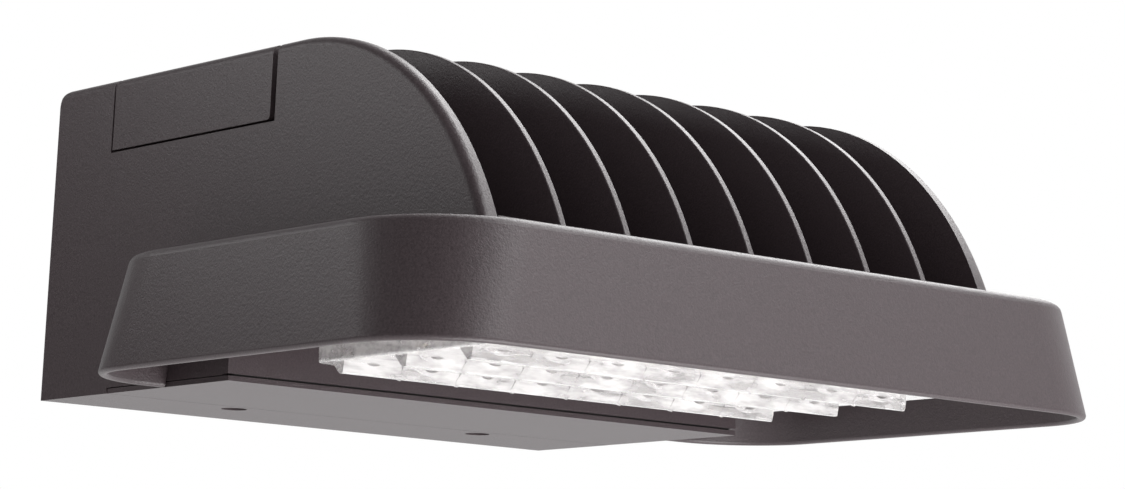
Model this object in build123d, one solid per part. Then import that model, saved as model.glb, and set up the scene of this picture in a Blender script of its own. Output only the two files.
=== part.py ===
from build123d import *
import math
import os

# LED wall pack light: a die-cast housing with a flared skirt and upright cooling fins, hung on a
# steel wall bracket. Millimetres. The wall is the plane y = 0 and the light stands out towards -Y,
# with +X to the right and +Z up. Heights here are counted from the flat underside, and each piece is
# lowered on saving, so that the origin is the centre of the bracket's screw pattern on the wall.

os.makedirs("parts", exist_ok=True)

# ---- overall sizes ----
housing_width = 300.0        # across the flat underside
housing_height = 144.0
side_lean = 3.8              # each side leans in by this much over the full height
box_depth = 145.0            # driver box, from the wall to its front face
crown_depth = 183.0          # from the wall to where the top starts to fall away
nose_reach = 138.7           # how far the falling curve runs past the crown
nose_sink = 4.5              # the curve's centre lies this far below the underside
edge_round = 4.0             # rounding where the sides meet the top and the curve
rear_round = 8.0             # rounding of the top edge at the wall, about the tilt axis
wall = 3.0                   # general casting wall

# ---- flared skirt round the lamp ----
skirt_height = 51.0
skirt_flare = 53.7           # the skirt's bottom edge stands out past each side
skirt_front = 343.0          # wall to the skirt's bottom front edge
skirt_rear = 94.6            # wall to the skirt's bottom rear edge
skirt_lean_x = 7.7
skirt_lean_y = 5.4
skirt_corner_low = 44.5
skirt_corner_high = 52.0
skirt_wall = 4.2
skirt_top_round = 4.0
rim_round = 1.7
ledge = 4.0                  # roof between the skirt and the fins
least_corner = 0.5

# ---- end plates and heat sink ----
end_plate_inset = 9.8        # inner face of each end plate, in from the underside's edge
fin_count = 7
fin_thick = 3.4
fin_edge_round = 0.6
fin_bay_start = 180.0        # wall to the bay that holds the fins
bay_gap = 0.7                # heat sink to the walls of its bay
sink_base = 4.0
sink_gasket = 1.0
pedestal_rear = 193.0        # wall to the rear of the block that reaches down to the lamp tray
pedestal_front = 296.0
pedestal_half = 118.0
pedestal_plate = 5.0
pedestal_web = 5.0
pad_thick = 0.5
opening_gap = 2.0            # pedestal to the edge of its opening in the ledge
sink_screw_shares = (0.08, 0.5, 0.92)    # places along the pedestal's length
sink_front_screw = 8.5       # front screws, in front of the pedestal
sink_seal_front = 13.5       # gasket's front edge, in front of the pedestal

# ---- access door over the driver compartment ----
door_rear = 45.5
door_front = 164.5
door_low = 111.2             # height of the lower edge of the door's side flaps
door_thick = 3.0
door_rear_gap = 1.1
door_low_gap = 1.1
door_front_gap = 3.6         # the flaps sweep forwards by 3.3 as the door opens
door_corner = 2.0            # rounding of each flap's lower front corner
barrel_r = 4.0
door_pin_r = 1.5
door_pin_start = 88.0
door_pin_end = 122.0
ear_start = 100.0
ear_end = 110.0
ear_gap = 0.5
ear_relief = 0.4             # the housing's knuckle is this much smaller than the barrel
knuckle_start = 87.5
running_gap = 0.06
flap_inner = 6.8             # inner face of a flap, in from the underside's edge
rim_inset = 13.0             # outer face of the compartment's upper wall, in from the same edge
rim_wall = 3.5
rim_drop = 5.7               # the rim lies this far under the top
gasket_rise = 2.4
trough_gap = 1.0             # barrel to the floor of its trough
front_trough_drop = 13.0
shelf_under = 104.0

# ---- inner walls ----
partition_front = 59.0       # wall to the front of the partition behind the driver
rear_bay_narrow = 40.0
cavity_inset = 7.0           # inner side faces of the space at the wall
driver_bay_inset = 5.5       # inner side faces of the driver compartment
rim_front_wall = 4.0
rim_front_roof = 5.0         # metal left under the trough in front of the rim
compartment_front = 176.0
wall_seal_out = 3.0          # foam strip's outer face, out from the side of the space at the wall
wall_seal_low = 0.7
wall_seal_strip = 1.6        # height of its bottom run
wall_seal_depth = 2.0
wall_seal_top = 120.0
hook_thick = 0.6             # the hooks' wall beyond the round top of that space

# ---- underside: rear strip and bottom cover ----
cover_rear = 53.4
cover_thick = 2.2
cover_side_gap = 0.4
cover_seal = 0.9             # height of the cover's gasket, seen as a dark line at the front
seal_width = 2.4
seal_setback = 1.6           # seal to the cover's rear edge
strip_edge = 53.0
cover_screw_x = 137.0
cover_screw_y = (68.0, 136.0)
boss_top = 8.2
lug_thick = 3.7
lug_half = 6.0
lug_gap = 0.1                # cover boss to the lug above it
cover_boss_r = 4.5
joint = 0.2                  # overlap that joins a boss to its plate

# ---- lock screws in the underside ----
lock_x = 73.0
lock_y = 43.8
lock_recess_r = 6.0
lock_recess = 5.0
lock_boss_r = 9.0
lock_boss_top = 9.5
lock_screw_r = 2.5
lock_screw_tip = 13.0        # shown backed off, clear of the bracket's tab
lock_screw_gap = 0.4
lock_head_r = 4.6
lock_head = 3.2
lock_clip_r = 4.5
clip_thick = 0.8
clip_gap = 0.2
tap_depth = 0.4              # a tapped hole's minor radius is this much less than its screw

# ---- wall bracket ----
bracket_half = 120.0
bracket_low = 18.0
bracket_high = 126.0
bracket_thick = 2.0
tab_half = 12.0
tab_reach = 52.0
rod_r = 2.5
rod_half = 80.0
ear_r = 4.4
bracket_ear_x = (50.0, 70.0)
bracket_ear_thick = 2.5
hook_gap = 0.5
hook_run_gap = 0.08
neck_half = 2.0
neck_foot = 6.0              # an ear's foot starts this far below the plate's top edge
neck_bend = 4.0
neck_root = 12.0
bracket_corner = 6.0
ground_clear = 8.0           # ground screw to the edge of the wire hole
ground_drop = 24.0
ground_head_r = 5.0
ground_head = 3.2
ground_shank = 5.9
box_screw_spacing = 88.9
box_slot_r = 2.4
box_slot_length = 14.0
lag_spacing_x = 200.0
lag_spacing_z = 70.0
lag_hole_r = 3.5
wire_hole_r = 20.0

# ---- lamp tray, board and lens ----
tray_low = 20.0
tray_thick = 4.0
tray_gap = 1.0
tray_rear = 146.5
tray_boss_r = 5.0
tray_screw_inset = 35.0      # side screws, in from the skirt's bottom edge
tray_screw_y = (165.0, 232.0, 298.0)
tray_mid_x = 60.0
tray_mid_y = 160.0
tray_screw_stop = 10.0       # tray screws' tips to the ledge
board_half = 122.0
board_rear = 181.0
board_front = 301.0
board_thick = 1.6
chip_size = 5.0
chip_thick = 1.0
chip_back = 1.5              # emitters sit this far behind their bar's lower edge
board_screw_inset = 6.0
bar_count = 3
bar_first = 192.0            # rear lower edge of the first lens bar, from the wall
bar_pitch = 42.4
bar_half = 126.2
bar_low = 2.0
bar_tip = 2.4
bar_front_slope = 1.0
bar_rear_slope = 6.0
bar_cells = 8
groove = 0.8
bar_tip_round = 0.7
lens_half = 130.0
lens_rear = 177.0
lens_front = 305.0
lens_low = 7.0
lens_corner = 8.0
lens_wall = 2.0
lens_flange = 6.0
flange_low = 16.8
flange_high = 18.8
lens_low_round = 1.0
lens_screw_shares = (0.2, 0.8)           # places along the lens's depth
lens_seal_inset = 0.5

# ---- driver and wiring ----
driver_half = 85.0
driver_rear = 72.0
driver_front = 132.0
driver_low = 3.2
driver_high = 39.0
driver_ear = 23.0
driver_ear_thick = 1.5
driver_screw_x = 100.0
driver_y = 102.0
driver_corner = 3.0
driver_ear_half = 8.0
driver_boss_r = 5.0
block_x = (-130.0, -98.0)
block_front = 83.0
block_z = (60.0, 80.0)
surge_x = (-84.0, -52.0)
surge_front = 87.0
surge_z = (60.0, 88.0)
block_shelf = 8.0            # width of the lower shelf at each end of both blocks
block_screw_length = 6.5
lead_r = 1.0
lead_bend = 6.0
led_lead_x = (98.0, 102.0)
led_lead_y = (110.0, 106.0)
input_lead_setback = 6.0     # input wires, in front of the driver's rear face
input_lead_step_x = 8.0
input_lead_step_z = 6.0
surge_lead_out = 11.0        # surge wires, in front of the partition
surge_lead_inset = 10.0
surge_lead_step_x = 12.0
surge_lead_rise = 12.0
surge_lead_step_z = 7.0
lead_drop_y = 184.5
grommet_x = 100.0
lead_grommet_r = 5.0
supply_grommet_r = 11.0
grommet_lip = 1.5
tray_grommet_r = 4.4
tray_grommet_lip_r = 5.6
tray_grommet_lip = 1.2
tray_grommet_bore = 3.4
connector_half = 6.0
connector_reach = 4.0        # connector's front face, in front of the wires
connector_drop = 3.4
notch_gap = 0.3

# ---- fasteners ----
m4_r = 2.0
m4_head_r = 3.8
m4_head = 2.4
m4_hole_r = 2.2
m3_r = 1.5
m3_head_r = 2.8
m3_head = 2.0
m3_hole_r = 1.7
head_round = 0.4             # share of a head's height
socket_depth = 0.6           # share of a head's height
socket_r = 0.75              # share of a shank's radius
door_sink = 1.8              # depth of the recess round each door screw
door_sink_gap = 0.6
door_head = 1.7
door_screw_stop = 0.6        # tip of a backed-off door screw, above the rim
door_clip_r = 3.6
door_screw_inset = 22.0      # door screws, in from the compartment's inner side
door_screw_back = 4.8
door_boss_r = 5.0
door_boss_height = 16.0
door_boss_bore = 12.0
door_seal_margin = 0.2
door_seal_width = 2.6
flap_weld = 0.2
past = 1.0                   # how far a cutting shape runs past what it cuts
aligned = 0.9                # cosine beyond which an edge counts as running along an axis

# ---- sizes that follow from those above ----
half_width = housing_width / 2
pattern_height = housing_height / 2
tilt_y = -rear_round
tilt_z = housing_height - rear_round
door_axis_y = -(door_rear + barrel_r)
door_axis_z = housing_height - barrel_r
bay_half = half_width - end_plate_inset
flap_inner_x = half_width - flap_inner
rim_outer_x = half_width - rim_inset
rim_inner_x = rim_outer_x - rim_wall
rim_top = housing_height - rim_drop
door_under = housing_height - door_thick
cavity_half = half_width - cavity_inset
driver_bay_half = half_width - driver_bay_inset
partition_rear = partition_front - wall
hinge_trough_drop = 2 * barrel_r + trough_gap
door_bay_rear = door_rear - door_rear_gap
door_bay_front = door_front + door_front_gap
door_bay_low = door_low - door_low_gap
rim_front_outer = door_front - past
rim_front_inner = rim_front_outer - rim_front_wall
ledge_low = skirt_height - ledge
skirt_half_low = half_width + skirt_flare
cover_cut_top = cover_thick + cover_side_gap
seal_top = cover_thick + cover_seal
tray_high = tray_low + tray_thick
pedestal_low = tray_high + pad_thick
lead_z = (tray_high + ledge_low) / 2
sink_low = skirt_height + sink_gasket
sink_high = sink_low + sink_base
fin_pitch = 2 * bay_half / (fin_count + 1)
nose_height = housing_height + nose_sink
front_wall_inner = box_depth - wall
everywhere = 2 * skirt_half_low
tray_screw_x = skirt_half_low - tray_screw_inset
board_low = tray_low - board_thick
opening_half = pedestal_half + opening_gap
ground_x = wire_hole_r + ground_clear
door_screw_x = rim_inner_x - door_screw_inset
door_screw_y = rim_front_inner - door_screw_back
ear_top = boss_top + driver_ear_thick
sides = (-1, 1)
x_axis = Vector(1, 0, 0)
y_axis = Vector(0, 1, 0)
z_axis = Vector(0, 0, 1)


def block(x0, x1, y0, y1, z0, z1):
    """A box between two corners. y0 and y1 are distances out from the wall."""
    size = Box(x1 - x0, y1 - y0, z1 - z0)
    return Pos((x0 + x1) / 2, -(y0 + y1) / 2, (z0 + z1) / 2) * size


def post(x, y, z0, z1, r):
    """An upright cylinder, y out from the wall."""
    return Pos(x, -y, (z0 + z1) / 2) * Cylinder(r, z1 - z0)


def runs_along(edge, axis):
    """Whether the middle of an edge runs along an axis."""
    return abs(edge.tangent_at(0.5).dot(axis)) > aligned


def shaft(x0, x1, y, z, r):
    """A cylinder along X about the line (y, z), y in the model's own sense."""
    return Pos((x0 + x1) / 2, y, z) * Rot(0, 90, 0) * Cylinder(r, abs(x1 - x0))


def bolt(x, y, z_seat, z_tip, r, head_r, head):
    """A screw whose round-edged head sits on z_seat and whose shank ends at z_tip."""
    way = 1 if z_seat > z_tip else -1
    top = z_seat + way * head
    cap = post(x, y, min(z_seat, top), max(z_seat, top), head_r)
    outer = cap.edges().filter_by(GeomType.CIRCLE).sort_by(Axis.Z)
    rim = outer[-1] if way > 0 else outer[0]
    cap = fillet([rim], head * head_round)
    socket_end = top - way * head * socket_depth
    socket = post(x, y, min(top, socket_end), max(top, socket_end), r * socket_r)
    return cap - socket + post(x, y, min(z_seat, z_tip), max(z_seat, z_tip), r)


def group(solids):
    """Separate solids kept together as one node."""
    return Compound([s for piece in solids for s in piece.solids()])


def ring(x, y0, y1, z0, z1, width, corner):
    """A rounded rectangular ring of the given width, centred across the light."""
    outer = RectangleRounded(2 * x, y1 - y0, corner)
    inner = RectangleRounded(2 * (x - width), y1 - y0 - 2 * width, max(corner - width, least_corner))
    return Pos(0, -(y0 + y1) / 2, z0) * extrude(outer - inner, z1 - z0)


def side_profile(rear, low_front):
    """The light's side outline above the ledge, run back to y = rear, as a face in the YZ plane."""
    curve_z = ledge_low + nose_sink
    low_angle = math.degrees(math.asin(curve_z / nose_height))
    centre = (-crown_depth, -nose_sink)
    nose = EllipticalCenterArc(centre, nose_reach, nose_height, 90, arc_size=90 - low_angle)
    front = nose @ 1
    top = Polyline([(low_front, 0), (rear, 0), (rear, housing_height), (-crown_depth, housing_height)])
    under = Polyline([(front.X, front.Y), (low_front, front.Y), (low_front, 0)])
    return Plane.YZ * make_face([*top.edges(), *nose.edges(), *under.edges()])


def leaning_block():
    """The space between the two leaning sides."""
    high = half_width - side_lean
    outline = [(-half_width, 0), (half_width, 0), (high, housing_height), (-high, housing_height)]
    face = Plane.XZ * make_face(Polyline([*outline, outline[0]]).edges())
    return extrude(face, everywhere, both=True)


def rear_rounded_block():
    """Everything in front of the wall, with the top edge at the wall rounded about the tilt axis."""
    side = everywhere
    arc = CenterArc((tilt_y, tilt_z), rear_round, 0, 90)
    line = Polyline([(tilt_y, housing_height), (-side, housing_height), (-side, 0), (0, 0), (0, tilt_z)])
    return extrude(Plane.YZ * make_face([*arc.edges(), *line.edges()]), everywhere, both=True)


def outer_body():
    """The housing's solid outer form, before the skirt: box, top and rounded end plates."""
    long_body = extrude(side_profile(everywhere / 4, -box_depth), half_width, both=True) & leaning_block()
    rounded = [
        e for e in long_body.edges()
        if abs(e.center().X) > bay_half and e.center().Z > door_low - 2 * edge_round
        and e.center().Y < everywhere / 4 - past
        and not runs_along(e, x_axis)
    ]
    return fillet(rounded, edge_round) & rear_rounded_block()


def skirt_outline(inset, z, share):
    """One rounded outline of the skirt at height z. share is 0 at the bottom edge, 1 at the top."""
    x = skirt_half_low - share * skirt_lean_x - inset
    front = skirt_front - share * skirt_lean_y - inset
    rear = skirt_rear + share * skirt_lean_y + inset
    corner = skirt_corner_low + share * (skirt_corner_high - skirt_corner_low) - inset
    return Pos(0, -(front + rear) / 2, z) * RectangleRounded(2 * x, front - rear, corner)


def skirt_solid(inset, z0, z1):
    """The space inside the skirt's outer face, moved in by inset."""
    low = skirt_outline(inset, z0, z0 / skirt_height)
    high = skirt_outline(inset, z1, z1 / skirt_height)
    return loft([low.faces()[0], high.faces()[0]], ruled=True)


def skirt_ring():
    """The flared skirt with its ledge as a roof, rounded at the top edge and the rim."""
    outer = skirt_solid(0, 0, skirt_height)
    top_edges = outer.faces().sort_by(Axis.Z)[-1].edges()
    outer = fillet(top_edges, skirt_top_round)
    shell = outer - skirt_solid(skirt_wall, 0, ledge_low)
    rim_edges = shell.faces().sort_by(Axis.Z)[0].edges()
    return fillet(rim_edges, rim_round)


def lamp_bosses():
    """Where the tray's screws go, as (x, y) pairs."""
    spots = [(s * tray_screw_x, y) for s in sides for y in tray_screw_y]
    return spots + [(s * tray_mid_x, tray_mid_y) for s in sides]


def sink_screw_spots():
    """Screws that draw the heat sink down on the ledge."""
    x = (opening_half + bay_half) / 2
    span = pedestal_front - pedestal_rear
    spots = [(s * x, pedestal_rear + f * span) for s in sides for f in sink_screw_shares]
    return spots + [(s * pedestal_half / 2, pedestal_front + sink_front_screw) for s in sides]


def round_topped_block(half, high, radius):
    """A long block along Y with its two upper edges rounded."""
    space = block(-half, half, -everywhere, everywhere, 0, high)
    upper = [e for e in space.edges() if runs_along(e, y_axis) and e.center().Z > high - past]
    return fillet(upper, radius)


def rear_cavity():
    """The open space at the wall that takes the bracket, with a round top about the tilt axis."""
    inner_r = rear_round - wall
    arc = CenterArc((tilt_y, tilt_z), inner_r, 0, 90)
    corner = tilt_y + inner_r
    line = Polyline([
        (tilt_y, tilt_z + inner_r), (-rear_bay_narrow, tilt_z + inner_r), (-rear_bay_narrow, wall),
        (past, wall), (past, tilt_z), (corner, tilt_z),
    ])
    space = extrude(Plane.YZ * make_face([*arc.edges(), *line.edges()]), cavity_half, both=True)
    space &= round_topped_block(cavity_half, tilt_z + inner_r, edge_round - wall)
    trough_floor = housing_height - hinge_trough_drop - wall - past
    space += block(-cavity_half, cavity_half, rear_bay_narrow - past, strip_edge - wall, wall, shelf_under)
    space += block(-cavity_half, cavity_half, rear_bay_narrow - past, partition_rear, 2 * wall, shelf_under)
    space += block(-rim_inner_x, rim_inner_x, rear_bay_narrow - past, partition_rear, 2 * wall, trough_floor)
    return space


def driver_compartment():
    """The space over the bottom cover, closed by the door above."""
    under_rim = housing_height - front_trough_drop - rim_front_roof
    space = block(-driver_bay_half, driver_bay_half, partition_front, front_wall_inner, -past, shelf_under)
    space += block(-driver_bay_half, driver_bay_half, front_wall_inner - past, compartment_front,
                   skirt_height, shelf_under)
    space += block(-rim_inner_x, rim_inner_x, partition_front, compartment_front,
                   shelf_under - past, under_rim)
    space += block(-rim_inner_x, rim_inner_x, partition_front, rim_front_inner,
                   under_rim - past, housing_height + past)
    return space


def door_bay():
    """Room for the door, its flaps and its hinge, round the compartment's upper wall."""
    high = housing_height + past
    space = block(-everywhere, everywhere, door_bay_rear, door_bay_front, rim_top, high)
    for s in sides:
        x0, x1 = sorted((s * rim_outer_x, s * everywhere))
        space += block(x0, x1, door_bay_rear, door_bay_front, door_bay_low, high)
    space += block(-everywhere, everywhere, door_bay_rear, partition_rear,
                   housing_height - hinge_trough_drop, high)
    space += block(-everywhere, everywhere, rim_front_outer, door_bay_front,
                   housing_height - front_trough_drop, high)
    return space


def cover_seal_ring(top):
    """The strip that seals the bottom cover, up to the given height."""
    x = half_width - seal_width
    return ring(x, cover_rear + seal_setback, box_depth - past, cover_thick, top, seal_width, seal_width)


def wall_seal():
    """U-shaped foam strip in the housing's rear edge, down both sides and along the bottom."""
    outer_x = cavity_half + wall_seal_out
    inner_x = cavity_half + past
    bar = block(-outer_x, outer_x, 0, wall_seal_depth, wall_seal_low, wall_seal_low + wall_seal_strip)
    for s in sides:
        x0, x1 = sorted((s * inner_x, s * outer_x))
        bar += block(x0, x1, 0, wall_seal_depth, wall_seal_low, wall_seal_top)
    return bar


def rod_hook(s):
    """Half ring inside the rounded top edge that hangs on the bracket's rod."""
    x0 = bracket_ear_x[0] + bracket_ear_thick / 2 + hook_gap
    x1 = bracket_ear_x[1] - bracket_ear_thick / 2 - hook_gap
    outer = rear_round - wall + hook_thick
    low, high = sorted((s * x0, s * x1))
    lump = shaft(low, high, tilt_y, tilt_z, outer)
    lump += Pos((low + high) / 2, tilt_y - outer / 2, tilt_z + outer / 2) * Box(high - low, outer, outer)
    lump -= Pos(0, tilt_y, tilt_z - everywhere / 2) * Box(everywhere, everywhere, everywhere)
    return lump - shaft(low - past, high + past, tilt_y, tilt_z, rod_r + hook_run_gap)


def door_ear(s):
    """Housing knuckle that holds a door pin."""
    low, high = sorted((s * ear_start, s * ear_end))
    foot_z = housing_height - hinge_trough_drop - past
    r = barrel_r - ear_relief
    ear = shaft(low, high, door_axis_y, door_axis_z, r)
    ear += Pos((low + high) / 2, door_axis_y, (foot_z + door_axis_z) / 2) * Box(
        high - low, 2 * r, door_axis_z - foot_z)
    return ear - shaft(low - past, high + past, door_axis_y, door_axis_z, door_pin_r)


def housing():
    """Die-cast housing: driver box, leaning sides, rounded end plates, ledge and skirt."""
    body = outer_body() + skirt_ring()
    body -= block(-bay_half, bay_half, fin_bay_start, everywhere, skirt_height, housing_height + past)
    body -= rear_cavity()
    body -= driver_compartment()
    body -= door_bay()
    body -= block(-opening_half, opening_half, pedestal_rear - opening_gap,
                  pedestal_front + opening_gap, ledge_low - past, skirt_height + past)
    for s in sides:
        body += rod_hook(s)
        body += door_ear(s)
        body += post(s * lock_x, lock_y, 0, lock_boss_top, lock_boss_r)
        body -= post(s * lock_x, lock_y, -past, lock_recess, lock_recess_r)
        body -= post(s * lock_x, lock_y, 0, lock_boss_top + past, lock_screw_r + lock_screw_gap)
        body += door_screw_boss(s)
        for y in cover_screw_y:
            x0, x1 = sorted((s * (cover_screw_x - lug_half), s * (driver_bay_half + past)))
            body += block(x0, x1, y - lug_half, y + lug_half, boss_top + lug_gap, boss_top + lug_thick)
            body -= post(s * cover_screw_x, y, 0, boss_top + 2 * lug_thick, m4_hole_r)
    for x, y in lamp_bosses():
        body += post(x, y, tray_high, ledge_low + past, tray_boss_r)
        body -= post(x, y, tray_low, ledge_low - 2 * past, m4_r)
    for x, y in sink_screw_spots():
        body -= post(x, y, ledge_low - past, skirt_height + past, m4_hole_r)
    body -= block(-half_width, half_width, strip_edge, box_depth + past, -past, cover_cut_top)
    body -= block(-half_width, half_width, front_wall_inner - past, box_depth + past, -past, seal_top)
    body -= cover_seal_ring(seal_top)
    body -= wall_seal()
    body -= through(grommet_x, box_depth, lead_z, lead_grommet_r)
    body -= through(0, partition_front, pattern_height, supply_grommet_r)
    for x, z in partition_screw_spots():
        body -= through(x, partition_front, z, m3_r)
    return body


def heat_sink():
    """Aluminium heat sink: upright fins on a base, with a ribbed block down to the lamp tray."""
    front = crown_depth + nose_reach
    half = bay_half - bay_gap
    sink = block(-half, half, fin_bay_start + bay_gap, front, sink_low, sink_high)
    sink &= extrude(side_profile(0, -box_depth), everywhere, both=True)
    foot = block(-pedestal_half, pedestal_half, pedestal_rear, pedestal_front, pedestal_low, sink_low)
    tunnel_half = (fin_pitch - pedestal_web) / 2
    for i in range(fin_count - 1):
        x = (i - (fin_count - 2) / 2) * fin_pitch
        foot -= block(x - tunnel_half, x + tunnel_half, pedestal_rear - past, pedestal_front + past,
                      pedestal_low + pedestal_plate, sink_low)
    sink += foot
    for i in range(fin_count):
        x = (i - (fin_count - 1) / 2) * fin_pitch
        fin = block(x - fin_thick / 2, x + fin_thick / 2, fin_bay_start + bay_gap, front,
                    sink_low, housing_height + past)
        fin &= extrude(side_profile(0, -box_depth), everywhere, both=True)
        outer = [
            e for e in fin.edges()
            if abs(e.center().X - x) > fin_thick / 4 and e.center().Z > sink_high
            and e.center().Y < -(fin_bay_start + past)
        ]
        sink += fillet(outer, fin_edge_round)
    for x, y in sink_screw_spots():
        sink -= post(x, y, sink_low - past, sink_high - past, m4_r)
    return sink


def sink_seal():
    """Flat silicone gasket between the ledge and the heat sink's base."""
    half = bay_half - 2 * bay_gap
    front = pedestal_front + sink_seal_front
    seal = block(-half, half, fin_bay_start + 2 * bay_gap, front, skirt_height, sink_low)
    seal -= block(-opening_half, opening_half, pedestal_rear - opening_gap, pedestal_front + opening_gap,
                  skirt_height - past, sink_low + past)
    for x, y in sink_screw_spots():
        seal -= post(x, y, skirt_height - past, sink_low + past, m4_hole_r)
    return seal


def lens_screw_spots():
    """Screws in the lens flange."""
    x = lens_half + lens_flange / 2
    span = lens_front - lens_rear
    spots = [(s * x, lens_rear + f * span) for s in sides for f in lens_screw_shares]
    for s in sides:
        spots.append((s * lens_half / 2, lens_rear - lens_flange / 2))
        spots.append((s * lens_half / 2, lens_front + lens_flange / 2))
    return spots


def board_screw_spots():
    """Screws between the rows of the light board."""
    x = board_half - board_screw_inset
    return [(s * x, bar_first + (row + 0.5) * bar_pitch) for s in sides for row in range(bar_count - 1)]


def lamp_tray():
    """Cast tray that closes the skirt from below and carries the board and the lens."""
    tray = skirt_solid(skirt_wall + tray_gap, tray_low, tray_high)
    tray -= block(-everywhere, everywhere, 0, tray_rear, tray_low - past, tray_high + past)
    for x, y in lamp_bosses():
        tray -= post(x, y, tray_low - past, tray_high + past, m4_hole_r)
    for x, y in lens_screw_spots() + board_screw_spots():
        tray -= post(x, y, tray_low - past, tray_high - past, m3_r)
    return tray - post(grommet_x, lead_drop_y, tray_low - past, tray_high + past, tray_grommet_r)


def light_board():
    """Aluminium-cored board with a notch for its connector."""
    board = block(-board_half, board_half, board_rear, board_front, board_low, tray_low)
    notch_half = connector_half + notch_gap
    board -= block(grommet_x - notch_half, grommet_x + notch_half, board_rear - past,
                   lead_drop_y + connector_reach + notch_gap, board_low - past, tray_low + past)
    for x, y in board_screw_spots():
        board -= post(x, y, board_low - past, tray_low + past, m3_hole_r)
    return board


def chip_spots():
    """Centres of the light emitters, one over each cell of each lens bar."""
    cell = 2 * bar_half / bar_cells
    xs = [(i - (bar_cells - 1) / 2) * cell for i in range(bar_cells)]
    return [(x, bar_first + row * bar_pitch - chip_back) for row in range(bar_count) for x in xs]


def lens_bar(y):
    """One prism bar under the lens: a wedge along X, grooved between its cells."""
    base_z = lens_low + past
    section = [
        (-y, bar_low), (-y - bar_tip, bar_low), (-y - bar_tip - bar_front_slope, base_z),
        (-y + bar_rear_slope, base_z),
    ]
    face = Plane.YZ * make_face(Polyline([*section, section[0]]).edges())
    bar = extrude(face, bar_half, both=True)
    tips = [e for e in bar.edges() if runs_along(e, x_axis) and e.center().Z < bar_low + past]
    bar = fillet(tips, bar_tip_round)
    cell = 2 * bar_half / bar_cells
    for i in range(1, bar_cells):
        x = -bar_half + i * cell
        bar -= block(x - groove / 2, x + groove / 2, y + bar_tip - groove, y + 2 * bar_tip + past,
                     bar_low - past, lens_low)
        bar -= block(x - groove / 2, x + groove / 2, y - past, y + 2 * bar_tip + past,
                     bar_low - past, bar_low + groove)
    return bar


def lens():
    """Clear acrylic lens: shallow tub with a flange and three prism bars underneath."""
    middle = -(lens_rear + lens_front) / 2
    depth = lens_front - lens_rear
    tub = Pos(0, middle, lens_low) * extrude(
        RectangleRounded(2 * lens_half, depth, lens_corner), flange_high - lens_low)
    lower = tub.faces().sort_by(Axis.Z)[0].edges()
    tub = fillet(lower, lens_low_round)
    flange = Pos(0, middle, flange_low) * extrude(
        RectangleRounded(2 * (lens_half + lens_flange), depth + 2 * lens_flange,
                         lens_corner + lens_flange), flange_high - flange_low)
    body = tub + flange
    body -= Pos(0, middle, lens_low + lens_wall) * extrude(
        RectangleRounded(2 * (lens_half - lens_wall), depth - 2 * lens_wall,
                         lens_corner - lens_wall), flange_high)
    for row in range(bar_count):
        body += lens_bar(bar_first + row * bar_pitch)
    for x, y in lens_screw_spots():
        body -= post(x, y, flange_low - past, flange_high + past, m3_hole_r)
    return body


def lens_seal():
    """Silicone ring between the lens flange and the tray."""
    outer = lens_flange - lens_seal_inset
    seal = ring(lens_half + outer, lens_rear - outer, lens_front + outer, flange_high, tray_low,
                outer, lens_corner + outer)
    for x, y in lens_screw_spots():
        seal -= post(x, y, flange_high - past, tray_low + past, m3_hole_r)
    return seal


def bottom_cover():
    """Plate under the driver, with bosses for its own screws and the driver's."""
    half = half_width - cover_side_gap
    plate = block(-half, half, cover_rear, box_depth, 0, cover_thick)
    for s in sides:
        for y in cover_screw_y:
            plate += post(s * cover_screw_x, y, cover_thick - joint, boss_top, cover_boss_r)
            plate -= post(s * cover_screw_x, y, cover_thick, boss_top + past, m4_r)
        plate += post(s * driver_screw_x, driver_y, cover_thick - joint, boss_top, driver_boss_r)
        plate -= post(s * driver_screw_x, driver_y, cover_thick, boss_top + past, m4_r)
    return plate


def led_driver():
    """Driver can with a fixing ear at each end."""
    can = block(-driver_half, driver_half, driver_rear, driver_front, driver_low, driver_high)
    upright = [e for e in can.edges() if runs_along(e, z_axis)]
    can = fillet(upright, driver_corner)
    for s in sides:
        x0, x1 = sorted((s * (driver_half - past), s * (driver_half + driver_ear)))
        can += block(x0, x1, driver_y - driver_ear_half, driver_y + driver_ear_half, boss_top, ear_top)
        can -= post(s * driver_screw_x, driver_y, boss_top - past, ear_top + past, m4_hole_r)
    return can


def lead(points):
    """One insulated wire along straight runs joined by arcs."""
    path = FilletPolyline(points, radius=lead_bend)
    start = Plane(origin=path @ 0, z_dir=path % 0)
    return sweep(start * Circle(lead_r), path=path)


def led_leads():
    """Two wires from the driver, through the box's front wall, down to the board's connector."""
    wires = []
    for x, y in zip(led_lead_x, led_lead_y):
        wires.append(lead([
            (driver_half, -y, lead_z), (x, -y, lead_z), (x, -lead_drop_y, lead_z),
            (x, -lead_drop_y, tray_low),
        ]))
    return group(wires)


def input_leads():
    """Three wires from the terminal block down to the driver's other end."""
    wires = []
    y = -(driver_rear + input_lead_setback)
    for i in range(3):
        x = block_x[1] - input_lead_step_x * (i + 1)
        z = lead_z - input_lead_step_z * i
        wires.append(lead([(-driver_half, y, z), (x, y, z), (x, y, block_z[0])]))
    return group(wires)


def surge_leads():
    """Two wires over the top from the terminal block to the surge protector."""
    wires = []
    y = -(partition_front + surge_lead_out)
    for i in range(2):
        along = surge_lead_inset + surge_lead_step_x * i
        x0 = block_x[1] - along
        x1 = surge_x[0] + along
        z = surge_z[1] + surge_lead_rise + surge_lead_step_z * i
        wires.append(lead([(x0, y, block_z[1]), (x0, y, z), (x1, y, z), (x1, y, surge_z[1])]))
    return group(wires)


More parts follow.
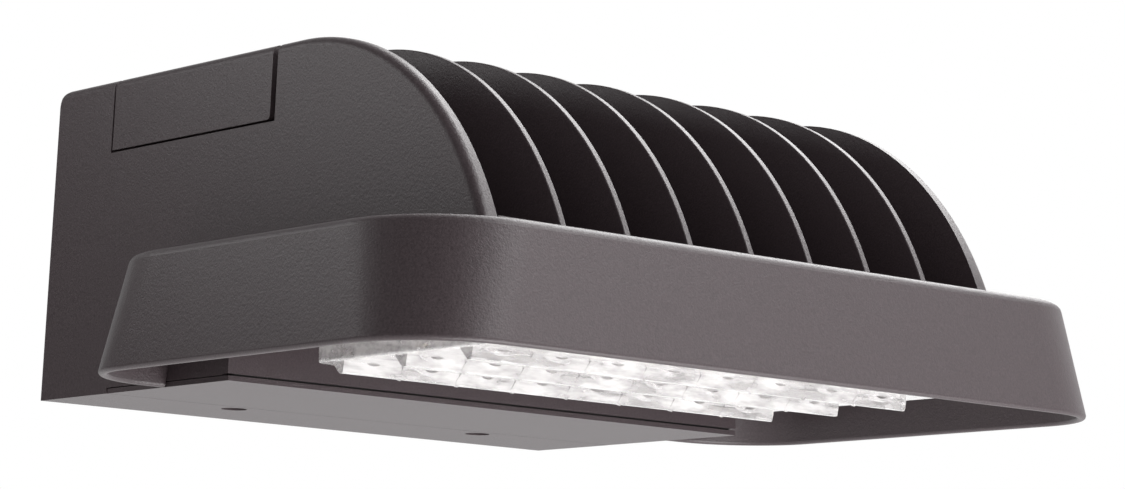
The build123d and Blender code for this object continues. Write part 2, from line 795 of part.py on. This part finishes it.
def partition_screw_spots():
    """Screws for the terminal block and the surge protector, as (x, z) in the partition."""
    spots = []
    for x_pair, z_pair in ((block_x, block_z), (surge_x, surge_z)):
        middle = (z_pair[0] + z_pair[1]) / 2
        spots += [(x_pair[0] + block_shelf / 2, middle), (x_pair[1] - block_shelf / 2, middle)]
    return spots


def boxed_part(x_pair, front, z_pair):
    """A moulded block on the partition, with a lower shelf at each end for its screw."""
    body = block(x_pair[0], x_pair[1], partition_front, front, z_pair[0], z_pair[1])
    left_end = (x_pair[0] - past, x_pair[0] + block_shelf)
    right_end = (x_pair[1] - block_shelf, x_pair[1] + past)
    for x0, x1 in (left_end, right_end):
        body -= block(x0, x1, partition_front + block_shelf / 2, front + past,
                      z_pair[0] - past, z_pair[1] + past)
    for x, z in partition_screw_spots():
        body -= Pos(x, -partition_front, z) * Rot(90, 0, 0) * Cylinder(m3_hole_r, 4 * wall)
    return body


def partition_screws():
    """Small screws that hold the two blocks on the partition."""
    screws = []
    for x, z in partition_screw_spots():
        screw = bolt(0, 0, 0, -block_screw_length, m3_r, m3_head_r, m3_head)
        screws.append(Pos(x, -(partition_front + block_shelf / 2), z) * Rot(90, 0, 0) * screw)
    return group(screws)


def through(x, front, z, r):
    """A cylinder along Y through the wall whose front face is the given distance from the wall."""
    return Pos(x, -(front - wall / 2), z) * Rot(90, 0, 0) * Cylinder(r, 3 * wall)


def grommet(x, front, z, hole_r):
    """Rubber bush with a lip on each side of the wall that it lines."""
    sleeve = Cylinder(hole_r, wall)
    for way in sides:
        sleeve += Pos(0, 0, way * (wall + grommet_lip) / 2) * Cylinder(hole_r + grommet_lip, grommet_lip)
    sleeve -= Cylinder(hole_r - grommet_lip, 4 * wall)
    return Pos(x, -(front - wall / 2), z) * Rot(90, 0, 0) * sleeve


def tray_grommet():
    """Rubber bush in the lamp tray round the two board wires."""
    lip_top = tray_high + tray_grommet_lip
    bush = post(grommet_x, lead_drop_y, tray_low, tray_high, tray_grommet_r)
    bush += post(grommet_x, lead_drop_y, tray_high, lip_top, tray_grommet_lip_r)
    return bush - post(grommet_x, lead_drop_y, tray_low - past, lip_top + past, tray_grommet_bore)


def board_connector():
    """White plug-in connector that stands in the board's notch."""
    x0 = grommet_x - connector_half
    x1 = grommet_x + connector_half
    return block(x0, x1, board_rear, lead_drop_y + connector_reach, board_low - connector_drop, tray_low)


def bracket_neck(s, x):
    """A bracket ear: a neck from the plate to a round eye about the tilt axis."""
    low = s * x - bracket_ear_thick / 2
    high = s * x + bracket_ear_thick / 2
    foot = tilt_z - bracket_high + neck_foot
    ear = shaft(low, high, tilt_y, tilt_z, ear_r)
    outline = [
        (tilt_y - neck_half, tilt_z), (tilt_y + neck_half, tilt_z),
        (tilt_y + neck_half, tilt_z - foot + neck_bend), (0, tilt_z - foot),
        (0, tilt_z - foot - neck_root), (-bracket_thick, tilt_z - foot - neck_root),
        (tilt_y - neck_half, tilt_z - foot - neck_bend),
    ]
    face = Plane.YZ * make_face(Polyline([*outline, outline[0]]).edges())
    ear += Pos(s * x, 0, 0) * extrude(face, bracket_ear_thick / 2, both=True)
    return ear - shaft(low - past, high + past, tilt_y, tilt_z, rod_r)


def wall_bracket():
    """Steel plate screwed to the outlet box, with ears for the rod and two tapped tabs below."""
    face = Rectangle(2 * bracket_half, bracket_high - bracket_low)
    face = fillet(face.vertices(), bracket_corner)
    middle = (bracket_high + bracket_low) / 2
    rise = pattern_height - middle
    for s in sides:
        face -= Pos(s * box_screw_spacing / 2, rise) * SlotOverall(box_slot_length, 2 * box_slot_r)
        for t in sides:
            face -= Pos(s * lag_spacing_x / 2, rise + t * lag_spacing_z / 2) * Circle(lag_hole_r)
    face -= Pos(0, rise) * Circle(wire_hole_r)
    face -= Pos(-ground_x, rise - ground_drop) * Circle(m4_r)
    plate = extrude(Plane.XZ * Pos(0, middle) * face, bracket_thick)
    for s in sides:
        for x in bracket_ear_x:
            plate += bracket_neck(s, x)
        tab = block(s * lock_x - tab_half, s * lock_x + tab_half, 0, tab_reach, bracket_low,
                    bracket_low + bracket_thick)
        plate += tab - post(s * lock_x, lock_y, bracket_low - past, bracket_low + 2 * bracket_thick,
                            lock_screw_r - tap_depth)
    return plate


def ground_screw():
    """Hexagon-headed ground screw on the bracket."""
    head = extrude(RegularPolygon(ground_head_r, 6), ground_head)
    screw = head + Pos(0, 0, (joint - ground_shank) / 2) * Cylinder(m4_r, ground_shank + joint)
    return Pos(-ground_x, -bracket_thick, pattern_height - ground_drop) * Rot(90, 0, 0) * screw


def access_door():
    """Door over the compartment: a top plate with two flaps, rolled over the hinge at its rear."""
    arc = CenterArc((door_axis_y, door_axis_z), barrel_r, 0, 90)
    line = Polyline([
        (door_axis_y, housing_height), (-door_front, housing_height), (-door_front, door_low),
        (-door_rear, door_low), (-door_rear, door_axis_z),
    ])
    door = extrude(Plane.YZ * make_face([*arc.edges(), *line.edges()]), everywhere, both=True)
    corners = [
        e for e in door.edges()
        if runs_along(e, x_axis) and e.center().Z < door_low + past and e.center().Y < -door_front + past
    ]
    door = fillet(corners, door_corner)
    door -= round_topped_block(flap_inner_x, door_under, edge_round - door_thick)
    for s in sides:
        low, high = sorted((s * knuckle_start, s * (flap_inner_x + flap_weld)))
        door += shaft(low, high, door_axis_y, door_axis_z, barrel_r)
    door &= outer_body()
    for s in sides:
        low, high = sorted((s * (ear_start - ear_gap), s * (ear_end + ear_gap)))
        door -= shaft(low, high, door_axis_y, door_axis_z, barrel_r + past)
        low, high = sorted((s * (knuckle_start - past), s * (door_pin_end + ear_gap)))
        door -= shaft(low, high, door_axis_y, door_axis_z, door_pin_r + running_gap)
        door -= post(s * door_screw_x, door_screw_y, 0, housing_height + past, m4_hole_r)
        door -= post(s * door_screw_x, door_screw_y, housing_height - door_sink, housing_height + past,
                     m4_head_r + door_sink_gap)
    return door


def door_screw_boss(s):
    """Boss under each of the door's screws, on the compartment's front rim."""
    x = s * door_screw_x
    boss = post(x, door_screw_y, rim_top - door_boss_height, rim_top, door_boss_r)
    return boss - post(x, door_screw_y, rim_top - door_boss_bore, rim_top + past, m4_r)


def door_seal():
    """Foam ring on the compartment's rim."""
    x = rim_outer_x - door_seal_margin
    return ring(x, partition_rear + door_seal_margin, rim_front_outer - door_seal_margin, rim_top,
                rim_top + gasket_rise, door_seal_width, door_seal_width)


def bolts(spots, z_seat, z_tip, r, head_r, head):
    """The same screw at each spot."""
    return group([bolt(x, y, z_seat, z_tip, r, head_r, head) for x, y in spots])


def save(name, shape):
    """Write one node, lowered so that the bracket's screw pattern is the origin."""
    export_step(Pos(0, 0, -pattern_height) * shape, f"parts/{name}.step")


cover_spots = [(s * cover_screw_x, y) for s in sides for y in cover_screw_y]
driver_spots = [(s * driver_screw_x, driver_y) for s in sides]
lock_spots = [(s * lock_x, lock_y) for s in sides]
door_spots = [(s * door_screw_x, door_screw_y) for s in sides]
chips = [block(x - chip_size / 2, x + chip_size / 2, y - chip_size / 2, y + chip_size / 2,
               board_low - chip_thick, board_low) for x, y in chip_spots()]
door_pins = [shaft(*sorted((s * door_pin_start, s * door_pin_end)), door_axis_y, door_axis_z, door_pin_r)
             for s in sides]
lock_clip_low = lock_boss_top + clip_gap
lock_clips = [post(x, y, lock_clip_low, lock_clip_low + clip_thick, lock_clip_r)
              - post(x, y, lock_boss_top, lock_clip_low + past, lock_screw_r) for x, y in lock_spots]
door_clip_top = door_under - clip_gap
door_clips = [post(x, y, door_clip_top - clip_thick, door_clip_top, door_clip_r)
              - post(x, y, door_clip_top - past, door_under, m4_r) for x, y in door_spots]

save("wall_bracket", wall_bracket())
save("hinge_rod", shaft(-rod_half, rod_half, tilt_y, tilt_z, rod_r))
save("ground_screw", ground_screw())
save("housing", housing())
save("wall_gasket", wall_seal())
save("lock_screws", bolts(lock_spots, lock_recess, lock_screw_tip, lock_screw_r, lock_head_r, lock_head))
save("lock_screw_clips", group(lock_clips))
save("heat_sink", heat_sink())
save("heat_sink_gasket", sink_seal())
save("heat_sink_screws", bolts(sink_screw_spots(), ledge_low, sink_high - 2 * past,
                               m4_r, m4_head_r, m4_head))
save("thermal_pad", block(-pedestal_half + past, pedestal_half - past, pedestal_rear + past,
                          pedestal_front - past, tray_high, pedestal_low))
save("lamp_tray", lamp_tray())
save("tray_screws", bolts(lamp_bosses(), tray_low, ledge_low - tray_screw_stop, m4_r, m4_head_r, m4_head))
save("led_board", light_board())
save("led_chips", group(chips))
save("board_screws", bolts(board_screw_spots(), board_low, tray_high - 2 * past, m3_r, m3_head_r, m3_head))
save("board_connector", board_connector())
save("lens", lens())
save("lens_gasket", lens_seal())
save("lens_screws", bolts(lens_screw_spots(), flange_low, tray_high - 2 * past, m3_r, m3_head_r, m3_head))
save("bottom_cover", bottom_cover())
save("cover_gasket", cover_seal_ring(seal_top))
save("cover_screws", bolts(cover_spots, boss_top + lug_thick, cover_thick + past, m4_r, m4_head_r, m4_head))
save("led_driver", led_driver())
save("driver_screws", bolts(driver_spots, ear_top, cover_thick + past, m4_r, m4_head_r, m4_head))
save("terminal_block", boxed_part(block_x, block_front, block_z))
save("surge_protector", boxed_part(surge_x, surge_front, surge_z))
save("partition_screws", partition_screws())
save("supply_grommet", grommet(0, partition_front, pattern_height, supply_grommet_r))
save("lead_grommet", grommet(grommet_x, box_depth, lead_z, lead_grommet_r))
save("tray_grommet", tray_grommet())
save("led_leads", led_leads())
save("driver_input_leads", input_leads())
save("surge_leads", surge_leads())
save("door_gasket", door_seal())
save("door_hinge_pins", group(door_pins))
save("access_door", access_door())
save("door_screws", bolts(door_spots, housing_height - door_sink, rim_top + door_screw_stop,
                          m4_r, m4_head_r, door_head))
save("door_screw_clips", group(door_clips))
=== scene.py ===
import math

import bmesh
import bpy
from mathutils import Matrix, Vector


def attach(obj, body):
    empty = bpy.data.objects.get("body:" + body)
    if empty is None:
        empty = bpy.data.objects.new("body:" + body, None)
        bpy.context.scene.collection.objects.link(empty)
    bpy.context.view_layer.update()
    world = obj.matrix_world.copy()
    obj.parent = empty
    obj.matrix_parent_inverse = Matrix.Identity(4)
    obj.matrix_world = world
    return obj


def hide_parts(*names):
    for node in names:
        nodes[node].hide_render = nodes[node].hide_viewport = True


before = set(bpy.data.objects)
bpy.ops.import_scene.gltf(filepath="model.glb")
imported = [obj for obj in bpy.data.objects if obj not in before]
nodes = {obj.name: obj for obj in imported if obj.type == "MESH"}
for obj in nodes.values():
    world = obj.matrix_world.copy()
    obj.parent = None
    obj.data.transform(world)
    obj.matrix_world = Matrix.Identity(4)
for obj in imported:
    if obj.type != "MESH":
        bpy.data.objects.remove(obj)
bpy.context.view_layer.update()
MM = 0.001


# ---- Wall bracket, rod and ground screw ----
# The bracket is pressed from 2 mm galvanised sheet and screwed to the outlet box. Its ears carry a
# plain steel rod that the whole light hangs on. The green hexagon-headed screw takes the ground wire.
def linear(hex_colour):
    """An sRGB hex colour as the linear RGBA that a shader socket takes."""
    parts = [int(hex_colour[i:i + 2], 16) / 255 for i in (1, 3, 5)]
    return [p / 12.92 if p <= 0.04045 else ((p + 0.055) / 1.055) ** 2.4 for p in parts] + [1.0]


def add(tree, kind, settings=None, **inputs):
    """Adds a node. settings are its properties, inputs are values or output sockets by input name."""
    made = tree.nodes.new(kind)
    for name, value in (settings or {}).items():
        setattr(made, name, value)
    for name, value in inputs.items():
        socket = made.inputs[int(name[2:])] if name.startswith("in") else made.inputs[name.replace("_", " ")]
        if isinstance(value, bpy.types.NodeSocket):
            tree.links.new(value, socket)
        else:
            socket.default_value = value
    return made


def shader(name, **values):
    """A new material and its Principled shader, with the given socket values."""
    made = bpy.data.materials.new(name)
    made.use_nodes = True
    tree = made.node_tree
    surface = tree.nodes["Principled BSDF"]
    for key, value in values.items():
        surface.inputs[key.replace("_", " ")].default_value = value
    return made, tree, surface


def pattern(tree, size_mm, detail=2.0, rough=0.5, offset=0.0, squeeze=(1.0, 1.0, 1.0)):
    """Noise about size_mm across, on the piece's own coordinates. squeeze above 1 makes an axis finer."""
    place = add(tree, "ShaderNodeTexCoord").outputs["Object"]
    placed = add(tree, "ShaderNodeMapping", in0=place, Location=(offset, offset, offset), Scale=squeeze)
    return add(tree, "ShaderNodeTexNoise", Vector=placed.outputs[0], Scale=1 / (size_mm * MM), Detail=detail,
               Roughness=rough).outputs["Fac"]


def tint(tree, surface, factor, dark, light, low=0.35, high=0.65):
    """Runs the base colour between two hex colours as factor goes from low to high."""
    ramp = add(tree, "ShaderNodeValToRGB", Fac=factor)
    ramp.color_ramp.elements[0].position = low
    ramp.color_ramp.elements[1].position = high
    ramp.color_ramp.elements[0].color = linear(dark)
    ramp.color_ramp.elements[1].color = linear(light)
    tree.links.new(ramp.outputs["Color"], surface.inputs["Base Color"])


def roughen(tree, surface, factor, low, high):
    """Runs the roughness between two values with factor."""
    span = add(tree, "ShaderNodeMapRange", Value=factor, To_Min=low, To_Max=high)
    tree.links.new(span.outputs["Result"], surface.inputs["Roughness"])


def relief(tree, surface, height, depth_mm, strength=1.0, under=None):
    """Bump of the given depth, laid over an earlier one where under is given."""
    bump = add(tree, "ShaderNodeBump", Height=height, Distance=depth_mm * MM, Strength=strength)
    if under:
        tree.links.new(under, bump.inputs["Normal"])
    tree.links.new(bump.outputs["Normal"], surface.inputs["Normal"])
    return bump.outputs["Normal"]


def finish(material, *names):
    """Gives CAD nodes a material in all their slots."""
    for name in names:
        slots = nodes[name].data.materials
        if not slots:
            slots.append(material)
        for i in range(len(slots)):
            slots[i] = material


def galvanised_steel():
    """Hot-dip zinc: flat crystals a few millimetres across, each a slightly different grey."""
    made, tree, surface = shader("galvanised_steel", Metallic=1.0, Roughness=0.42)
    place = add(tree, "ShaderNodeTexCoord").outputs["Object"]
    crystals = add(tree, "ShaderNodeTexVoronoi", Vector=place, Scale=1 / (5 * MM), Randomness=1.0)
    tint(tree, surface, crystals.outputs["Color"], "#8E9295", "#C2C5C7", 0.1, 0.9)
    roughen(tree, surface, crystals.outputs["Distance"], 0.34, 0.5)
    relief(tree, surface, pattern(tree, 0.6), 0.02, 0.4)
    return made


def plated_steel(name, dark, light, roughness):
    """Turned or headed steel with a thin plating and faint handling marks."""
    made, tree, surface = shader(name, Metallic=1.0, Roughness=roughness)
    marks = pattern(tree, 1.2, 3.0)
    tint(tree, surface, marks, dark, light)
    roughen(tree, surface, marks, roughness - 0.06, roughness + 0.08)
    relief(tree, surface, pattern(tree, 0.4), 0.01, 0.3)
    return made


zinc_plate = plated_steel("zinc_plated_steel", "#A9AAA6", "#C9C9C4", 0.32)
finish(galvanised_steel(), "wall_bracket")
finish(zinc_plate, "hinge_rod")
finish(plated_steel("green_dyed_zinc", "#1F6B35", "#2E8C49", 0.38), "ground_screw")


# ---- Housing, heat sink, tray, cover and door ----
# All five are aluminium castings in one dark bronze polyester powder coat, baked on. The grain is drawn
# at 0.9 and 2.4 mm, coarser than the real fine texture, so that it shows at the photograph's size.
def powder_coat():
    """Baked polyester powder, fine texture: satin, and slightly uneven in colour and gloss."""
    made, tree, surface = shader("bronze_powder_coat", Roughness=0.42, IOR=1.5)
    grain = pattern(tree, 0.9, 3.0, 0.6)
    tint(tree, surface, grain, "#372E31", "#453B3E", 0.32, 0.68)
    roughen(tree, surface, grain, 0.34, 0.5)
    coarse = relief(tree, surface, pattern(tree, 2.4, 2.0, 0.5, 1.7), 0.15, 0.5)
    relief(tree, surface, grain, 0.16, 0.9, coarse)
    return made


finish(powder_coat(), "housing", "heat_sink", "lamp_tray", "bottom_cover", "access_door")


# ---- Gaskets, bushes and pad ----
# Black EPDM and grey silicone, moulded or cut from sheet, with a dull skin. They lie between the
# pieces that they seal, or sit in their holes.
def elastomer(name, dark, light, roughness):
    """Moulded rubber: matt, with a faint bloom and a soft uneven skin."""
    made, tree, surface = shader(name, Roughness=roughness, IOR=1.45)
    bloom = pattern(tree, 4.0, 4.0)
    tint(tree, surface, bloom, dark, light)
    relief(tree, surface, pattern(tree, 0.5), 0.02, 0.5)
    return made


black_rubber = elastomer("black_epdm", "#141414", "#1F1E1D", 0.72)
finish(black_rubber, "wall_gasket", "cover_gasket", "door_gasket", "supply_grommet", "lead_grommet",
       "tray_grommet")
finish(elastomer("grey_silicone", "#7E8083", "#8D8F91", 0.6), "heat_sink_gasket", "thermal_pad",
       "lens_gasket")


# ---- Screws, clips and hinge pins ----
# The screws that show are stainless, and those inside the light are zinc-plated, as are the clips.
# All have round heads with a round socket.
stainless = plated_steel("stainless_steel", "#8F8D8A", "#B0AEAA", 0.3)
finish(stainless, "lock_screws", "tray_screws", "lens_screws", "door_screws", "door_hinge_pins")
finish(zinc_plate, "heat_sink_screws", "board_screws", "cover_screws", "driver_screws",
       "partition_screws", "lock_screw_clips", "door_screw_clips")


# ---- LED board and emitters ----
# An aluminium-cored board under white solder mask, with one emitter over each cell of the lens. Each
# emitter is a pale phosphor tile under clear silicone.
def solder_mask():
    """White mask: satin, with faint uneven patches."""
    made, tree, surface = shader("white_solder_mask", Roughness=0.38, IOR=1.5)
    print_marks = pattern(tree, 9.0, 1.0)
    tint(tree, surface, print_marks, "#EAE8E8", "#F4F2F2")
    relief(tree, surface, pattern(tree, 1.0), 0.01, 0.4)
    return made


def phosphor():
    """Phosphor under silicone, glossy and faintly grainy. Drawn cream, paler than the usual yellow, because
    no yellow shows in the photograph."""
    made, tree, surface = shader("led_phosphor", Roughness=0.2, IOR=1.41)
    tint(tree, surface, pattern(tree, 0.3), "#F1EBD2", "#F7F3E2")
    return made


finish(solder_mask(), "led_board")
finish(phosphor(), "led_chips")


# ---- Lens ----
# Clear acrylic, injection moulded in one piece: a shallow tub with three prism bars that throw the
# light out over the ground. Leaning ribs part the cells, and the domed pocket above each is a guess.
def clear_acrylic():
    """Polished refracting acrylic. 15 to 50 per cent of it is drawn as plain white, in streaks of noise,
    to match the overexposed lens in the photograph. The real one is clearer."""
    made, tree, surface = shader("clear_acrylic", Roughness=0.04, IOR=1.49)
    surface.inputs["Base Color"].default_value = linear("#FCFAFA")
    flow = pattern(tree, 24.0, 3.0, 0.6, squeeze=(1.0, 2.5, 4.0))
    clear = add(tree, "ShaderNodeMapRange", Value=flow, From_Min=0.36, From_Max=0.64, To_Min=0.5,
                To_Max=0.85)
    tree.links.new(clear.outputs["Result"], surface.inputs["Transmission Weight"])
    relief(tree, surface, pattern(tree, 8.0, 2.0), 0.1, 0.4)
    return made


def grown(name, tree, mesh, **values):
    """A plain mesh object made by running mesh through a geometry tree with these input values."""
    made = bpy.data.objects.new(name, mesh)
    bpy.context.scene.collection.objects.link(made)
    modifier = made.modifiers.new("make", "NODES")
    modifier.node_group = tree
    sockets = {i.name: i.identifier for i in tree.interface.items_tree if i.in_out == "INPUT"}
    for key, value in values.items():
        modifier[sockets[key.replace("_", " ")]] = value
    bpy.context.view_layer.update()
    ready = made.evaluated_get(bpy.context.evaluated_depsgraph_get())
    result = bpy.data.meshes.new_from_object(ready)
    made.modifiers.clear()
    made.data = result
    return made


def merged_copy(name):
    """A copy of a CAD node's mesh with its doubled corners joined."""
    made = nodes[name].data.copy()
    work = bmesh.new()
    work.from_mesh(made)
    bmesh.ops.remove_doubles(work, verts=work.verts, dist=1e-6)
    work.to_mesh(made)
    work.free()
    return made


def new_tree(name, inputs):
    """A geometry tree with a geometry input and output, and the given named number inputs."""
    tree = bpy.data.node_groups.new(name, "GeometryNodeTree")
    tree.interface.new_socket("Geometry", in_out="INPUT", socket_type="NodeSocketGeometry")
    tree.interface.new_socket("Geometry", in_out="OUTPUT", socket_type="NodeSocketGeometry")
    for key, kind in inputs.items():
        tree.interface.new_socket(key, in_out="INPUT", socket_type=kind)
    return tree, tree.nodes.new("NodeGroupInput").outputs


def lens_tree(material):
    """Adds a leaning rib between the cells of each bar, and cuts one pocket above each cell."""
    pocket_radii = (9.5 * MM, 2.6 * MM, 4.2 * MM)
    rib_size = (2.2 * MM, 2.4 * MM, 5.6 * MM)
    rib_lean = (0.2, 0.5, 0.0)                      # radians: with the bar's front face, then sideways
    count, length, place = "NodeSocketInt", "NodeSocketFloat", "NodeSocketVector"
    tree, given = new_tree("lens_cells", {
        "Cells": count, "Ribs": count, "Bars": count, "Cell Pitch": length, "Bar Pitch": length,
        "First Cell": place, "First Rib": place})
    across = add(tree, "ShaderNodeCombineXYZ", X=given["Cell Pitch"]).outputs[0]
    back = add(tree, "ShaderNodeCombineXYZ", Y=given["Bar Pitch"]).outputs[0]

    def placed(shape, points):
        """One real copy of shape at each point."""
        copies = add(tree, "GeometryNodeInstanceOnPoints", Points=points, Instance=shape).outputs[0]
        return add(tree, "GeometryNodeRealizeInstances", Geometry=copies).outputs[0]

    def repeated(shape, number, first):
        """Copies of shape along every bar, the first of them at first."""
        row = add(tree, "GeometryNodeMeshLine", Count=number, Start_Location=first, Offset=across).outputs[0]
        column = add(tree, "GeometryNodeMeshLine", Count=given["Bars"], Offset=back).outputs[0]
        return placed(shape, placed(row, column))

    dome = add(tree, "GeometryNodeMeshUVSphere", Segments=20, Rings=12, Radius=1.0).outputs[0]
    dome = add(tree, "GeometryNodeTransform", Geometry=dome, Scale=pocket_radii).outputs[0]
    rib = add(tree, "GeometryNodeMeshCube", Size=rib_size).outputs[0]
    rib = add(tree, "GeometryNodeTransform", Geometry=rib, Rotation=rib_lean).outputs[0]
    ribs = repeated(rib, given["Ribs"], given["First Rib"])
    pockets = repeated(dome, given["Cells"], given["First Cell"])
    ribbed = add(tree, "GeometryNodeMeshBoolean", {"operation": "UNION"}, in1=given["Geometry"])
    tree.links.new(ribs, ribbed.inputs[1])
    cut = add(tree, "GeometryNodeMeshBoolean", {"operation": "DIFFERENCE"}, in0=ribbed.outputs[0],
              in1=pockets)
    whole = add(tree, "GeometryNodeRealizeInstances", Geometry=cut.outputs[0]).outputs[0]
    coated = add(tree, "GeometryNodeSetMaterial", Geometry=whole, Material=material)
    tree.links.new(coated.outputs[0], tree.nodes.new("NodeGroupOutput").inputs[0])
    return tree


lens_prisms = grown("lens_prisms", lens_tree(clear_acrylic()), merged_copy("lens"),
                    Cells=8, Ribs=7, Bars=3, Cell_Pitch=31.525 * MM, Bar_Pitch=-42.4 * MM,
                    First_Cell=(-110.34 * MM, -193.2 * MM, -63 * MM),
                    First_Rib=(-94.6 * MM, -193.9 * MM, -67.6 * MM))
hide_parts("lens")
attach(lens_prisms, "luminaire")


# ---- Driver, surge protector, terminal block and connector ----
# Potted electronics in moulded cases, screwed to the cover and to the partition inside the box.
def moulded_plastic(name, dark, light, roughness):
    """Injection-moulded case: spark-eroded skin about 0.6 mm in grain, faint flow clouding."""
    made, tree, surface = shader(name, Roughness=roughness, IOR=1.53)
    tint(tree, surface, pattern(tree, 14.0), dark, light)
    relief(tree, surface, pattern(tree, 0.6, 3.0), 0.02, 0.6)
    return made


white_nylon = moulded_plastic("white_nylon", "#DAD7CD", "#E6E3DA", 0.45)
finish(moulded_plastic("white_potted_case", "#C9CAC8", "#D6D6D3", 0.4), "led_driver")
finish(white_nylon, "terminal_block", "board_connector")
finish(moulded_plastic("black_case", "#17181A", "#222325", 0.48), "surge_protector")


# ---- Wires ----
# Stranded copper in coloured PVC, run from piece to piece inside the box.
def wire_skin(name, dark, light):
    """Extruded PVC: smooth, and slightly uneven in colour."""
    made, tree, surface = shader(name, Roughness=0.35, IOR=1.52)
    tint(tree, surface, pattern(tree, 3.0), dark, light)
    return made


finish(wire_skin("red_wire_pvc", "#8E1B17", "#A5231D"), "led_leads")
finish(wire_skin("black_wire_pvc", "#151515", "#222222"), "driver_input_leads")
finish(wire_skin("white_wire_pvc", "#CFCDC6", "#DEDCD5"), "surge_leads")


# ---- Studio: camera, lamps, floor and white surround ----
# The camera stands where the photograph was taken from, front left and below the light. The floor lies
# under everything. The surround is white to the eye and through glass, and lights the object less.
def camera_from_photo():
    """A long lens, turned, tipped up and rolled as the photograph's was. Angles are in degrees."""
    spot = Vector((-1.0551, -1.4053, -0.2342))
    turn, tip, roll = (math.radians(a) for a in (-40.54, 8.236, 1.442))
    ahead = Vector((-math.sin(turn) * math.cos(tip), math.cos(turn) * math.cos(tip), math.sin(tip)))
    right = ahead.cross(Vector((0, 0, 1))).normalized()
    up = right.cross(ahead)
    rolled_right = right * math.cos(roll) + up * math.sin(roll)
    rolled_up = up * math.cos(roll) - right * math.sin(roll)
    data = bpy.data.cameras.new("camera")
    data.sensor_width = 36.0
    data.lens = 116.5
    data.shift_x = 0.0211
    data.shift_y = 0.0006
    data.clip_start = 0.05
    made = bpy.data.objects.new("camera", data)
    facing = Matrix((rolled_right, rolled_up, -ahead)).transposed().to_4x4()
    made.matrix_world = Matrix.Translation(spot) @ facing
    bpy.context.scene.collection.objects.link(made)
    return made


def softbox(name, spot, aim, size, watts):
    """A rectangular lamp at spot, facing aim. It doesn't show to the camera."""
    data = bpy.data.lights.new(name, "AREA")
    data.shape = "RECTANGLE"
    data.size, data.size_y = size
    data.energy = watts
    made = bpy.data.objects.new(name, data)
    made.location = spot
    made.visible_camera = False
    made.rotation_euler = (Vector(aim) - Vector(spot)).to_track_quat("-Z", "Y").to_euler()
    bpy.context.scene.collection.objects.link(made)


def white_surround(light_level, dim_level):
    """White to the eye and through glass. In reflections it is white on the right and dim on the left."""
    world = bpy.data.worlds.new("surround")
    world.use_nodes = True
    tree = world.node_tree
    tree.nodes.clear()
    rays = add(tree, "ShaderNodeLightPath")
    way = add(tree, "ShaderNodeTexCoord").outputs["Generated"]
    right = (1.0, 0.0, 0.0)
    side = add(tree, "ShaderNodeVectorMath", {"operation": "DOT_PRODUCT"}, in0=way, in1=right)
    shade = add(tree, "ShaderNodeMapRange", {"interpolation_type": "SMOOTHSTEP"},
                Value=side.outputs["Value"], From_Min=-0.4, From_Max=0.6, To_Min=dim_level, To_Max=1.0)
    lit = add(tree, "ShaderNodeMix", {"data_type": "FLOAT"}, in0=rays.outputs["Is Glossy Ray"],
              in2=light_level, in3=shade.outputs["Result"])
    seen = add(tree, "ShaderNodeMath", {"operation": "MAXIMUM"}, in0=rays.outputs["Is Camera Ray"],
               in1=rays.outputs["Is Transmission Ray"])
    level = add(tree, "ShaderNodeMix", {"data_type": "FLOAT"}, in0=seen.outputs[0], in2=lit.outputs[0],
                in3=1.0)
    back = add(tree, "ShaderNodeBackground", Color=linear("#FFFFFF"), Strength=level.outputs[0])
    add(tree, "ShaderNodeOutputWorld", Surface=back.outputs[0])
    bpy.context.scene.world = world


def pale_floor(height):
    """A plain matt floor. Reflections and glass see it white, and from beneath it doesn't show."""
    bpy.ops.mesh.primitive_plane_add(size=24.0, location=(0, 0, height))
    floor = bpy.context.object
    floor.name = "floor"
    made, tree, surface = shader("pale_floor", Roughness=0.9)
    tint(tree, surface, pattern(tree, 400.0), "#E9E8E6", "#EEEDEB")
    rays = add(tree, "ShaderNodeLightPath")
    bounced = add(tree, "ShaderNodeMath", {"operation": "MAXIMUM"}, in0=rays.outputs["Is Glossy Ray"],
                  in1=rays.outputs["Is Transmission Ray"])
    white = add(tree, "ShaderNodeEmission", Color=linear("#FFFFFF"), Strength=1.0)
    mixed = add(tree, "ShaderNodeMixShader", in0=bounced.outputs[0], in1=surface.outputs[0],
                in2=white.outputs[0])
    beneath = add(tree, "ShaderNodeNewGeometry").outputs["Backfacing"]
    clear = add(tree, "ShaderNodeBsdfTransparent")
    shown = add(tree, "ShaderNodeMixShader", in0=beneath, in1=mixed.outputs[0], in2=clear.outputs[0])
    tree.links.new(shown.outputs[0], tree.nodes["Material Output"].inputs["Surface"])
    floor.data.materials.append(made)


# "key" lights the skirt's front, "top" the rounded edges and the fins' rims, "side" is a small lamp behind
# the left side that it mirrors, and "under" lights the lens and the underside.
bpy.context.scene.camera = camera_from_photo()
bpy.context.scene.view_settings.view_transform = "Standard"
white_surround(0.66, 0.05)
pale_floor(-1.5)
softbox("key", (0.66, -1.6, 1.15), (0, -0.2, 0), (1.2, 1.2), 21)
softbox("top", (1.15, 0.02, 1.42), (0, -0.2, 0), (1.4, 1.4), 34)
softbox("side", (-0.52, 0.22, 0.27), (-0.15, -0.2, 0.05), (0.22, 0.22), 0.68)
softbox("under", (0.16, -0.82, -0.8), (0, -0.25, -0.05), (1.0, 0.8), 14)
